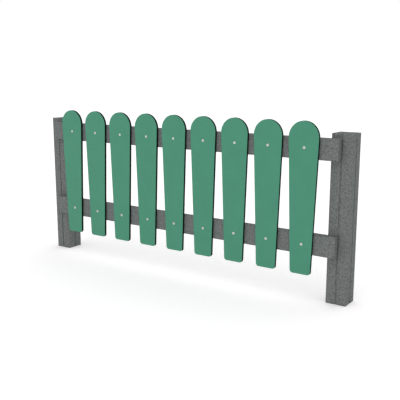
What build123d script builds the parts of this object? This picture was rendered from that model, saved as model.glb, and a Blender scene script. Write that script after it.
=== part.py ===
# Picket fence panel: one bay of a low playground fence.
# Two grooved posts carry two flat rails on their front faces, and nine
# round-headed pickets stand on the front of the rails.
# Millimetres, +X along the fence, -Y to the front, +Z up, with the origin
# at ground level in the middle of the left post's foot.
import os

from build123d import *

# Posts
post_spacing = 1800.0          # between the posts' centre lines
post_side = 100.0
post_height = 800.0            # above ground
post_corner_radius = 3.0
post_top_chamfer = 1.0
groove_width = 9.0             # half-round groove down the middle of each post face

# Rails
rail_height = 100.0
rail_thickness = 38.0
rail_edge_radius = 3.0
bottom_rail_clearance = 230.0  # ground to the lower edge of the bottom rail
rail_gap = 348.0               # free height between the two rails

# Pickets
picket_count = 9
picket_pitch = 184.3
picket_clearance = 134.0       # ground to the foot of a picket
picket_length = 720.0
picket_thickness = 15.0
picket_head_radius = 75.5
picket_foot_width = 105.0
picket_foot_radius = 15.0
picket_edge_chamfer = 1.0

# Places that follow from the sizes above
post_front = -post_side / 2
rail_front = post_front - rail_thickness
rail_length = post_spacing     # each rail ends on the posts' centre lines
rail_bottoms = {
    "bottom_rail": bottom_rail_clearance,
    "top_rail": bottom_rail_clearance + rail_height + rail_gap,
}
row_center = post_spacing / 2
first_picket = row_center - picket_pitch * (picket_count - 1) / 2
head_center_height = picket_clearance + picket_length - picket_head_radius
foot_center_height = picket_clearance + picket_foot_radius
foot_center_offset = picket_foot_width / 2 - picket_foot_radius

os.makedirs("parts", exist_ok=True)

# Posts: square, with eased corners and a half-round groove on each face
for name, post_x in (("left_post", 0), ("right_post", post_spacing)):
    with BuildPart() as post:
        with BuildSketch(Plane((post_x, 0, 0))) as post_section:
            RectangleRounded(post_side, post_side, post_corner_radius)
            with PolarLocations(post_side / 2, 4):
                Circle(groove_width / 2, mode=Mode.SUBTRACT)
        extrude(amount=post_height)
        chamfer(post.faces().sort_by(Axis.Z)[-1].edges(), post_top_chamfer)
    post.part.label = name
    export_step(post.part, f"parts/{name}.step")

# Rails: flat boards on the posts' front faces, cut square at both ends
for name, rail_bottom in rail_bottoms.items():
    rail_plane = Plane(
        origin=(0, post_front - rail_thickness / 2, rail_bottom + rail_height / 2),
        x_dir=(0, 1, 0),
        z_dir=(1, 0, 0),
    )
    with BuildPart() as rail:
        with BuildSketch(rail_plane) as rail_section:
            RectangleRounded(rail_thickness, rail_height, rail_edge_radius)
        extrude(amount=rail_length)
    rail.part.label = name
    export_step(rail.part, f"parts/{name}.step")

# Pickets: the outline is stretched like a band round one large circle at the
# head and two small ones at the foot, so the tapering sides run into the
# round head and the foot corners without a kink
for number in range(1, picket_count + 1):
    picket_plane = Plane(
        origin=(first_picket + (number - 1) * picket_pitch, rail_front, 0),
        x_dir=(1, 0, 0),
        z_dir=(0, -1, 0),
    )
    with BuildPart() as picket:
        with BuildSketch(picket_plane) as picket_outline:
            with Locations((0, head_center_height)):
                Circle(picket_head_radius)
            with Locations(
                (-foot_center_offset, foot_center_height),
                (foot_center_offset, foot_center_height),
            ):
                Circle(picket_foot_radius)
            make_hull(mode=Mode.REPLACE)
        extrude(amount=picket_thickness)
        chamfer(picket.faces().filter_by(Axis.Y).edges(), picket_edge_chamfer)
    name = f"picket_{number}"
    picket.part.label = name
    export_step(picket.part, f"parts/{name}.step")
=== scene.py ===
import math

import bpy
import numpy as np
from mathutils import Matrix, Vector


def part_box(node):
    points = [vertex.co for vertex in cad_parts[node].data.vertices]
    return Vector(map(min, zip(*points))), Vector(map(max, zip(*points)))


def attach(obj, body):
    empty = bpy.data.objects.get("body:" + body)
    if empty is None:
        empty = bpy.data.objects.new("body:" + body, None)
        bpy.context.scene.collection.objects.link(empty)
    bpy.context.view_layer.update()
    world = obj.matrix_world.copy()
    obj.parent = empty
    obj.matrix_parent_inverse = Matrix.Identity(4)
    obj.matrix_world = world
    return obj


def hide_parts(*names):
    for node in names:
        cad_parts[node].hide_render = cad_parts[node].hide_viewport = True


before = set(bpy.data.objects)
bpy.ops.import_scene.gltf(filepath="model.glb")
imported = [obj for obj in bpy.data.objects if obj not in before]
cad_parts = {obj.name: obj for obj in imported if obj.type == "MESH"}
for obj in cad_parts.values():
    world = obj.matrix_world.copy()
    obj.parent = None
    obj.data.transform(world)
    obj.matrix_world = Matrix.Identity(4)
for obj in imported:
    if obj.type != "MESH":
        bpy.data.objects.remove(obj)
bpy.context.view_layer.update()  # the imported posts, rails and pickets, in metres
print("frame loaded:", len(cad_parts), "nodes")


# Shader maths: a Wire is one output socket, and sums of wires add Math nodes
class Wire:
    def __init__(self, tree, socket=None):
        self.tree = tree
        self.socket = socket

    # any node: its type, its settings (set first), then its sockets by name or number
    def node(self, kind, settings, inputs, output=0):
        made = self.tree.nodes.new(kind)
        for key, value in settings.items():
            setattr(made, key, value)
        for key, value in inputs.items():
            if isinstance(value, Wire):
                self.tree.links.new(value.socket, made.inputs[key])
            else:
                made.inputs[key].default_value = value
        return Wire(self.tree, made.outputs[output])

    def maths(self, operation, first, second):
        return self.node("ShaderNodeMath", {"operation": operation}, {0: first, 1: second})

    def __add__(self, other):
        return self.maths("ADD", self, other)

    def __radd__(self, other):
        return self.maths("ADD", other, self)

    def __sub__(self, other):
        return self.maths("SUBTRACT", self, other)

    def __rsub__(self, other):
        return self.maths("SUBTRACT", other, self)

    def __mul__(self, other):
        return self.maths("MULTIPLY", self, other)

    def __rmul__(self, other):
        return self.maths("MULTIPLY", other, self)

    def __gt__(self, limit):
        return self.maths("GREATER_THAN", self, limit)

    def __lt__(self, limit):
        return self.maths("LESS_THAN", self, limit)

    # value carried from one span to another, held at both ends
    def remap(self, span=(0.0, 1.0), target=(0.0, 1.0)):
        sockets = dict(enumerate((self, *span, *target)))
        return self.node("ShaderNodeMapRange", {"clamp": True}, sockets)

    # a share of the other wire's value, and the rest from this one
    def mixedWith(self, other, share):
        return self * (1 - share) + other * share

    # colour between two colours, by this wire's value
    def blend(self, low, high):
        return self.node("ShaderNodeMix", {"data_type": "RGBA"}, {0: self, 6: low, 7: high}, 2)

    def noise(self, scale, detail, roughness, distortion=0.0):
        sockets = {"Scale": scale, "Detail": detail, "Roughness": roughness}
        return self.node("ShaderNodeTexNoise", {}, {0: self, "Distortion": distortion, **sockets})

    def stretched(self, scale):
        return self.node("ShaderNodeVectorMath", {"operation": "MULTIPLY"}, {0: self, 1: scale})

    # the wire's value as the height of a bump, for a shader's Normal
    def bump(self, depth):
        return self.node("ShaderNodeBump", {}, {"Height": self, "Distance": depth})

    # 1 where the camera, a mirror or a glass looks straight at the surface, else 0
    def seenDirectly(self):
        rays = ("Is Camera Ray", "Is Glossy Ray", "Is Transmission Ray")
        camera, glossy, through = (self.node("ShaderNodeLightPath", {}, {}, ray) for ray in rays)
        return self.maths("MAXIMUM", camera, self.maths("MAXIMUM", glossy, through))

    def into(self, shader, socket):
        self.tree.links.new(self.socket, shader.inputs[socket])


# A material with one Principled shader; returns both with the Object coordinates
def newMaterial(name, constants):
    material = bpy.data.materials.new(name)
    material.use_nodes = True
    tree = material.node_tree
    shader = tree.nodes["Principled BSDF"]
    for key, value in constants.items():
        shader.inputs[key].default_value = value
    place = Wire(tree).node("ShaderNodeTexCoord", {}, {}, "Object")
    return material, shader, place


# Recycled plastic of the posts and rails: mixed grey grains pressed into a dull skin
plasticLook = {
    "dark": (0.112, 0.121, 0.119, 1.0),
    "light": (0.205, 0.218, 0.215, 1.0),
    "paleFleck": (0.240, 0.255, 0.251, 1.0),
    "darkFleck": (0.077, 0.084, 0.082, 1.0),
    "grain": {"scale": 160.0, "detail": 4.0, "roughness": 0.65, "distortion": 0.4},  # about 6 mm
    "clump": {"scale": 80.0, "detail": 2.0, "roughness": 0.5},
    "pore": {"scale": 900.0, "detail": 3.0, "roughness": 0.6},
    "clumpShare": 0.4,
    "poreShare": 0.3,
    "toneSpan": (0.36, 0.64),  # noise values that give the dark and the light grey
    "fleckScale": 340.0,
    "paleShare": 0.05,  # of all the flecks
    "darkShare": 0.05,
    "dullSpan": (0.3, 0.7),
    "dullness": (0.82, 0.95),  # roughness over that span of the grain
    "skinDepth": 0.0005,
}


def makePlastic():
    look = plasticLook
    material, shader, place = newMaterial("recycledPlastic", {"Specular IOR Level": 0.0})
    grain, clump, pore = (place.noise(**look[layer]) for layer in ("grain", "clump", "pore"))
    tone = grain.mixedWith(clump, look["clumpShare"]).remap(look["toneSpan"])
    cells = {0: place, "Scale": look["fleckScale"]}
    fleck = place.node("ShaderNodeTexVoronoi", {"feature": "F1"}, cells, "Color")
    chance = fleck.node("ShaderNodeSeparateColor", {}, {0: fleck})
    colour = tone.blend(look["dark"], look["light"])
    colour = (chance > 1 - look["paleShare"]).blend(colour, look["paleFleck"])
    colour = (chance < look["darkShare"]).blend(colour, look["darkFleck"])
    colour.into(shader, "Base Color")
    grain.remap(look["dullSpan"], look["dullness"]).into(shader, "Roughness")
    skin = grain.mixedWith(pore, look["poreShare"])
    skin.bump(look["skinDepth"]).into(shader, "Normal")
    return material


# Compact laminate of the pickets: a green face sheet each side of a near-black core
laminateLook = {
    "green": (0.064, 0.271, 0.169, 1.0),
    "greenDeep": (0.056, 0.246, 0.154, 1.0),
    "cloud": {"scale": 9.0, "detail": 3.0, "roughness": 0.6},
    "pearl": {"scale": 1400.0, "detail": 2.0, "roughness": 0.5},
    "pearlShare": 0.4,
    "pearlDepth": 0.00006,
    "toneSpan": (0.3, 0.7),
    "satin": (0.46, 0.54),  # roughness of the sheet
    "sheetGloss": 0.25,
    "sheetThickness": 0.0006,
    "core": (0.006, 0.009, 0.008, 1.0),
    "coreLine": (0.013, 0.016, 0.014, 1.0),
    "paper": {"scale": 1.0, "detail": 2.0, "roughness": 0.6},
    "paperStretch": (20.0, 2600.0, 20.0),  # the core's paper layers lie parallel to the faces
    "paperSpan": (0.4, 0.65),
    "coreDullness": (0.6, 0.8),
}


def makeLaminate(faceFront, faceBack):
    look = laminateLook
    gloss = {"Specular IOR Level": look["sheetGloss"]}
    material, shader, place = newMaterial("greenLaminate", gloss)
    cloud, pearl = (place.noise(**look[layer]) for layer in ("cloud", "pearl"))
    tone = cloud.mixedWith(pearl, look["pearlShare"]).remap(look["toneSpan"])
    tone.blend(look["greenDeep"], look["green"]).into(shader, "Base Color")
    pearl.remap(target=look["satin"]).into(shader, "Roughness")
    pearl.bump(look["pearlDepth"]).into(shader, "Normal")

    paper = place.stretched(look["paperStretch"]).noise(**look["paper"])
    core = place.node("ShaderNodeBsdfPrincipled", {}, {
        "Base Color": paper.remap(look["paperSpan"]).blend(look["core"], look["coreLine"]),
        "Roughness": paper.remap(target=look["coreDullness"]),
        "Specular IOR Level": 0.0,
    })
    depth = place.node("ShaderNodeSeparateXYZ", {}, {0: place}, "Y")
    front = depth < faceFront + look["sheetThickness"]
    back = depth > faceBack - look["sheetThickness"]
    sheet = Wire(place.tree, shader.outputs[0])
    whole = place.node("ShaderNodeMixShader", {}, {0: front + back, 1: core, 2: sheet})
    whole.into(place.tree.nodes["Material Output"], "Surface")
    return material


# Stainless steel of the screw heads
steelLook = {
    "bright": (0.665, 0.67, 0.665, 1.0),
    "dull": (0.55, 0.555, 0.55, 1.0),
    "grain": {"scale": 1600.0, "detail": 3.0, "roughness": 0.6},
    "toneSpan": (0.35, 0.65),
    "shineSpan": (0.3, 0.7),
    "shine": (0.24, 0.36),  # roughness over that span of the grain
}


def makeSteel():
    look = steelLook
    material, shader, place = newMaterial("stainlessSteel", {"Metallic": 1.0})
    grain = place.noise(**look["grain"])
    tone = grain.remap(look["toneSpan"])
    tone.blend(look["dull"], look["bright"]).into(shader, "Base Color")
    grain.remap(look["shineSpan"], look["shine"]).into(shader, "Roughness")
    return material


# Outlines are rows of (centre across, centre up, radius, angle, bulge): a point lies at its
# centre plus radius times the direction of its angle. Bulge is 1 on a round corner and -1 in a
# hollow one, so taking bulge * inset off the radius shrinks the whole outline evenly.
def outlineRows(across, up, radius, angle, bulge):
    return np.stack(np.broadcast_arrays(across, up, radius, angle, bulge), 1)


# An arc, with one more row a little way along the tangent before and after it, which keeps
# the flat runs beside it flat to their ends
def arcRows(across, up, radius, first, last, steps, strip):
    angle = np.concatenate([[first], np.linspace(first, last, steps), [last]])
    run = np.zeros(steps + 2)
    run[0], run[-1] = -strip, strip
    return outlineRows(across - run * np.sin(angle), up + run * np.cos(angle), radius, angle, 1)


# Rings of an outline: its rows at each inset, carried to each height
def outlineRings(rows, insets, heights):
    across, up, radius, angle, bulge = rows.T
    reach = radius - bulge * insets[:, None]
    tall = np.broadcast_to(heights[:, None], reach.shape)
    return np.stack([across + reach * np.cos(angle), up + reach * np.sin(angle), tall], -1)


# A wall's rounded end, from the wall to the flat: inset = ease * (1 - cos t) and
# drop = ease * (1 - sin t) over a quarter turn t, with a narrow flat strip before and after
def roundedEnd(ease, strip, steps=6):
    turn = np.linspace(0, math.pi / 2, steps)
    inset = np.concatenate([[0.0], ease * (1 - np.cos(turn)), [ease + strip]])
    drop = np.concatenate([[ease + strip], ease * (1 - np.sin(turn)), [0.0]])
    return inset, drop


# Insets and heights of a wall with both ends rounded
def roundedWall(low, high, ease, strip):
    inset, drop = roundedEnd(ease, strip)
    return np.concatenate([inset[::-1], inset]), np.concatenate([low + drop[::-1], high - drop])


# Quads between each ring and the next, the last point joined to the first
def ringQuads(ringCount, pointCount):
    ring, point = np.meshgrid(np.arange(ringCount - 1), np.arange(pointCount), indexing="ij")
    here = ring * pointCount + point
    beside = ring * pointCount + (point + 1) % pointCount
    return np.stack([here, beside, beside + pointCount, here + pointCount], -1).reshape(-1, 4)


# Triangles from one ring to a point in its middle
def fanCap(first, pointCount, middle):
    point = np.arange(pointCount)
    after = (point + 1) % pointCount
    return np.stack([first + point, first + after, np.full(pointCount, middle)], 1)


# Rungs across a ring whose points mirror each other from its first point, the top
def ladderCap(first, pointCount):
    right = np.arange(1, pointCount // 2)
    left = pointCount - right
    return first + np.stack([right, right + 1, left - 1, left], 1)


# Points, quads and end fans of rings that are closed by a middle point at each end
def closedTube(rings, ends):
    ringCount, pointCount = rings.shape[:2]
    total = ringCount * pointCount
    points = np.concatenate([rings.reshape(-1, 3), ends])
    low = fanCap(0, pointCount, total)[:, ::-1]
    high = fanCap(total - pointCount, pointCount, total + 1)
    return points, ringQuads(ringCount, pointCount), np.concatenate([low, high])


# A mesh object at the origin, with its faces turned outwards by the sign of its volume;
# edges that turn by more than sharpTurn stay sharp, and the rest shade smoothly
def makePiece(name, points, quads, triangles, material, sharpTurn=math.radians(40)):
    halves = np.concatenate([triangles, quads[:, [0, 1, 2]], quads[:, [0, 2, 3]]])
    a, b, c = (points[halves[:, i]] for i in range(3))
    if np.einsum("ij,ij->i", a, np.cross(b, c)).sum() < 0:
        quads, triangles = quads[:, ::-1], triangles[:, ::-1]
    mesh = bpy.data.meshes.new(name)
    mesh.from_pydata(points.tolist(), [], quads.tolist() + triangles.tolist())
    mesh.polygons.foreach_set("use_smooth", np.ones(len(mesh.polygons), dtype=bool))
    mesh.set_sharp_from_angle(angle=sharpTurn)
    mesh.materials.append(material)
    mesh.update()
    piece = bpy.data.objects.new(name, mesh)
    bpy.context.scene.collection.objects.link(piece)
    return piece


# Joins a piece to the frame: it rides on the root body and may stand for a node, which it hides
def settle(piece, node=None):
    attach(piece, "root")
    if node:
        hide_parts(node)


def boxOf(node):
    low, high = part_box(node)
    return np.array(low), np.array(high)


def middleOf(node):
    low, high = boxOf(node)
    return (low + high) / 2


plastic = makePlastic()
steel = makeSteel()
print("plastic and steel made")

# Posts: a square section with eased corners and a half-round groove down each face
post = {
    "cornerRadius": 0.003,
    "grooveRadius": 0.0042,
    "lipRadius": 0.0006,  # where the groove meets the face
    "topEase": 0.0004,
    "strip": 0.0001,  # flat strip beside each rounding
    "cornerSteps": 10,
    "grooveSteps": 19,
    "lipSteps": 6,
}


# Along one face: a round corner, a lip, the hollow groove and a second lip; the other
# faces are the same rows turned by a quarter each time
def postRows(half):
    corner, groove, lip = post["cornerRadius"], post["grooveRadius"], post["lipRadius"]
    strip, quarter = post["strip"], math.pi / 2
    cornerAt, lipAt, lipAlong = half - corner, half - lip, groove + lip
    hollow = np.linspace(3 * quarter, quarter, post["grooveSteps"])[1:-1]
    face = np.concatenate([
        arcRows(cornerAt, -cornerAt, corner, -quarter, 0.0, post["cornerSteps"], strip),
        arcRows(lipAt, -lipAlong, lip, 0.0, quarter, post["lipSteps"], strip)[:-1],
        outlineRows(lipAt, 0.0, groove, hollow, -1),
        arcRows(lipAt, lipAlong, lip, -quarter, 0.0, post["lipSteps"], strip)[1:],
    ])
    turn = np.arange(4)[:, None] * quarter
    across = face[:, 0] * np.cos(turn) - face[:, 1] * np.sin(turn)
    up = face[:, 0] * np.sin(turn) + face[:, 1] * np.cos(turn)
    radius, bulge = (np.tile(face[:, column], 4) for column in (2, 4))
    return outlineRows(across.ravel(), up.ravel(), radius, (face[:, 3] + turn).ravel(), bulge)


def makePost(node):
    low, high = boxOf(node)
    middle = middleOf(node)
    inset, drop = roundedEnd(post["topEase"], post["strip"])
    insets = np.concatenate([[0.0], inset])  # the foot is cut square where it meets the ground
    heights = np.concatenate([[low[2]], high[2] - drop])
    rings = outlineRings(postRows((high[0] - low[0]) / 2), insets, heights)
    rings[..., :2] += middle[:2]
    ends = np.array([[middle[0], middle[1], low[2]], [middle[0], middle[1], high[2]]])
    piece = makePiece(f"{node}_grooved", *closedTube(rings, ends), plastic)
    settle(piece, node)


for node in ("left_post", "right_post"):
    makePost(node)
print("posts made")

# Rails: flat boards with rounded long edges and sawn ends
rail = {"edgeRadius": 0.003, "endEase": 0.0009, "strip": 0.0004, "edgeSteps": 9}


# Four round corners about the board's middle, the outline lying in Y and Z
def railRows(halfDepth, halfHeight):
    radius, quarter = rail["edgeRadius"], math.pi / 2
    y, z = halfDepth - radius, halfHeight - radius
    corners = ((y, z), (-y, z), (-y, -z), (y, -z))
    return np.concatenate([
        arcRows(*corner, radius, turn * quarter, (turn + 1) * quarter, rail["edgeSteps"], rail["strip"])
        for turn, corner in enumerate(corners)
    ])


def makeRail(node):
    low, high = boxOf(node)
    middle = middleOf(node)
    half = (high - low) / 2
    insets, places = roundedWall(low[0], high[0], rail["endEase"], rail["strip"])
    rings = outlineRings(railRows(half[1], half[2]), insets, places)[..., [2, 0, 1]]
    rings[..., 1:] += middle[1:]  # the outline is carried along X
    ends = np.array([[low[0], middle[1], middle[2]], [high[0], middle[1], middle[2]]])
    piece = makePiece(f"{node}_board", *closedTube(rings, ends), plastic)
    settle(piece, node)


for node in ("top_rail", "bottom_rail"):
    makeRail(node)
print("rails made")

# Pickets: the outline runs like a band round a large head circle and two small foot circles
picket = {
    "headRadius": 0.0755,
    "footWidth": 0.105,
    "footRadius": 0.015,
    "edgeEase": 0.001,
    "strip": 0.0004,
    "headSteps": 73,
    "footSteps": 13,
    "sideSteps": 12,
}


# Outline about the picket's centre line, from the top of the head down the right side and up the
# left. A side touches both circles, so its normal leans by acos((R - r) / distance) from the line
# of centres; share goes from 0 on the head circle to 1 on the foot circle.
def picketRows(length):
    headRadius, footRadius = picket["headRadius"], picket["footRadius"]
    headUp, footUp = length - headRadius, footRadius
    footAcross = picket["footWidth"] / 2 - footRadius
    distance = math.hypot(footAcross, headUp - footUp)
    lean = math.acos((headRadius - footRadius) / distance) - math.atan2(headUp - footUp, footAcross)
    head = np.linspace(math.pi / 2, lean, picket["headSteps"])
    foot = np.linspace(lean, -math.pi / 2, picket["footSteps"])
    side = np.linspace(0, 1, picket["sideSteps"] + 1)[1:-1]
    share = np.concatenate([np.zeros(len(head)), side, np.ones(len(foot))])
    angle = np.concatenate([head, np.full(len(side), lean), foot])
    radius = headRadius + share * (footRadius - headRadius)
    right = outlineRows(share * footAcross, headUp + share * (footUp - headUp), radius, angle, 1)
    left = right[:0:-1] * np.array([-1, 1, 1, -1, 1])
    left[:, 3] += math.pi
    return np.concatenate([right, left])


def makePicket(node, laminate):
    low, high = boxOf(node)
    insets, depths = roundedWall(low[1], high[1], picket["edgeEase"], picket["strip"])
    rings = outlineRings(picketRows(high[2] - low[2]), insets, depths)[..., [0, 2, 1]]
    rings += np.array([(low[0] + high[0]) / 2, 0.0, low[2]])  # the outline is carried along Y
    ringCount, pointCount = rings.shape[:2]
    last = (ringCount - 1) * pointCount
    rungs = [ladderCap(0, pointCount)[:, ::-1], ladderCap(last, pointCount)]
    quads = np.concatenate([ringQuads(ringCount, pointCount), *rungs])
    tops = np.array([[pointCount - 1, 1, 0], [last, last + 1, last + pointCount - 1]])
    piece = makePiece(f"{node}_board", rings.reshape(-1, 3), quads, tops, laminate)
    settle(piece, node)


picketNodes = sorted(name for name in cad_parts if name.startswith("picket_"))
picketLow, picketHigh = boxOf(picketNodes[0])
laminate = makeLaminate(float(picketLow[1]), float(picketHigh[1]))
for node in picketNodes:
    makePicket(node, laminate)
print("pickets made:", len(picketNodes))

# Screws: domed heads with a six-lobed socket, two in each picket and two behind each rail end
screw = {
    "headRadius": 0.0072,
    "rimHeight": 0.0007,
    "domeHeight": 0.0036,
    "socketRadius": 0.0026,
    "socketMouth": 1.25,  # where the dome ends, in socket radii
    "socketTaper": 0.94,
    "socketDepth": 0.0021,
    "lobes": 6,
    "lobeReach": 0.13,  # how far a lobe stands out, in socket radii
    "around": 48,
    "domeSteps": 9,
    "turnStep": 0.7,  # each screw stopped at another angle
    "topLift": 0.0045,  # height above the middle of the top rail
    "bottomLift": 0.0,
    # off each picket's centre line, as the photograph shows them
    "sideways": (0.0035, 0.0015, 0.002, 0.0035, -0.0005, 0.0015, 0.0025, 0.001, 0.004),
    "postInward": 0.25,  # behind a post: from its middle towards the rails, in post widths
    "postSpread": 0.025,
}


# Rings of one head about its axis: the dome's height is rim + rise * sqrt(1 - (r / R) ^ 2), and the
# socket's rings wave in and out by cos(lobes * angle)
def screwHead():
    outer, inner = screw["headRadius"], screw["socketRadius"]
    dome = np.linspace(outer, inner * screw["socketMouth"], screw["domeSteps"])
    rise = screw["domeHeight"] - screw["rimHeight"]
    domeTall = screw["rimHeight"] + rise * np.sqrt(1 - (dome / outer) ** 2)
    bottom = domeTall[-1] - screw["socketDepth"]
    radius = np.concatenate([[outer], dome, [inner, inner * screw["socketTaper"]]])
    tall = np.concatenate([[0.0], domeTall, [domeTall[-1], bottom]])
    wave = np.where(radius < dome[-1], screw["lobeReach"], 0.0)
    angle = np.arange(screw["around"]) * 2 * math.pi / screw["around"]
    reach = radius[:, None] * (1 + wave[:, None] * np.cos(screw["lobes"] * angle))
    height = np.broadcast_to(tall[:, None], reach.shape)
    rings = np.stack([reach * np.cos(angle), reach * np.sin(angle), height], -1)
    return closedTube(rings, np.array([[0, 0, 0], [0, 0, bottom]]))


# Copies of the head, each turned a little further, on faces that look along -Y or +Y
def makeScrews(name, places, facing):
    points, quads, triangles = screwHead()
    count = np.arange(len(places))
    turn = (count * screw["turnStep"])[:, None]
    x = points[:, 0] * np.cos(turn) - points[:, 1] * np.sin(turn)
    z = points[:, 0] * np.sin(turn) + points[:, 1] * np.cos(turn)
    y = np.broadcast_to(facing * points[:, 2], x.shape)
    every = np.stack([x, y, z], -1) + np.array(places)[:, None, :]
    shift = (count * len(points))[:, None, None]
    quads, triangles = (quads + shift).reshape(-1, 4), (triangles + shift).reshape(-1, 3)
    piece = makePiece(name, every.reshape(-1, 3), quads, triangles, steel)
    settle(piece)


for node, lift in (("top_rail", screw["topLift"]), ("bottom_rail", screw["bottomLift"])):
    height = middleOf(node)[2] + lift
    places = [
        (middleOf(name)[0] + sideways, picketLow[1], height)
        for name, sideways in zip(picketNodes, screw["sideways"])
    ]
    makeScrews(f"{node}_screws", places, -1)
for node, side in (("left_post", 1), ("right_post", -1)):
    low, high = boxOf(node)
    across = middleOf(node)[0] + side * screw["postInward"] * (high[0] - low[0])
    places = [
        (across, high[1], middleOf(railNode)[2] + lift)
        for railNode in ("top_rail", "bottom_rail")
        for lift in (-screw["postSpread"], screw["postSpread"])
    ]
    makeScrews(f"{node}_screws", places, 1)
print("screws made")

# Stage: white floor under a nearly even white sky, and the camera of the photograph
stage = {
    "floorSize": 60.0,
    "floorColour": (0.96, 0.96, 0.96, 1.0),
    "floorGlow": (0.05, 0.05, 0.05, 1.0),
    "floorShown": (0.169, 0.154, 0.161, 1.0),  # as seen: whiter, and warm against the pickets' green light
    "skyHorizon": 0.92,
    "skyZenith": 1.06,
    "skySides": 0.28,  # how much brighter the sky is before and behind the fence than at its ends
    "skyShown": (1.0, 1.0, 1.0, 1.0),
    "focalPixels": 640.80,  # focal length of the photograph, in its own pixels
    "imagePixels": 400.0,
    "sensor": 36.0,
    "eye": (2.8938, -2.7571, 1.0618),
    "yaw": 34.523,  # degrees turned to the left of straight on
    "pitch": -11.159,
    "level": 90.0,  # an unturned camera looks straight down
    "farClip": 200.0,
}


def makeFloor():
    half = stage["floorSize"] / 2
    mesh = bpy.data.meshes.new("floor")
    corners = [(-half, -half, 0), (half, -half, 0), (half, half, 0), (-half, half, 0)]
    mesh.from_pydata(corners, [], [(0, 1, 2, 3)])
    floor = bpy.data.objects.new("floor", mesh)
    bpy.context.scene.collection.objects.link(floor)
    material, shader, place = newMaterial("floorPaper", {
        "Base Color": stage["floorColour"],
        "Roughness": 1.0,
        "Specular IOR Level": 0.0,
        "Emission Strength": 1.0,
    })
    glow = place.seenDirectly().blend(stage["floorGlow"], stage["floorShown"])
    glow.into(shader, "Emission Color")
    mesh.materials.append(material)


def makeSky():
    world = bpy.data.worlds.new("sky")
    world.use_nodes = True
    tree = world.node_tree
    direction = Wire(tree).node("ShaderNodeTexCoord", {}, {}, "Generated")
    x, y, z = (direction.node("ShaderNodeSeparateXYZ", {}, {0: direction}, axis) for axis in "XYZ")
    rise = z.remap(target=(stage["skyHorizon"], stage["skyZenith"]))
    shade = rise + (y * y - x * x) * stage["skySides"]
    colour = direction.seenDirectly().blend(shade, stage["skyShown"])
    colour.into(tree.nodes["Background"], "Color")
    bpy.context.scene.world = world


def makeCamera():
    lens = bpy.data.cameras.new("camera")
    lens.sensor_width = stage["sensor"]
    lens.lens = stage["focalPixels"] / stage["imagePixels"] * stage["sensor"]
    lens.clip_end = stage["farClip"]
    camera = bpy.data.objects.new("camera", lens)
    camera.location = stage["eye"]
    tilt, turn = math.radians(stage["level"] + stage["pitch"]), math.radians(stage["yaw"])
    camera.rotation_euler = (tilt, 0, turn)
    bpy.context.scene.collection.objects.link(camera)
    bpy.context.scene.camera = camera


makeFloor()
makeSky()
makeCamera()
bpy.context.scene.view_settings.view_transform = "Standard"
print("stage made")
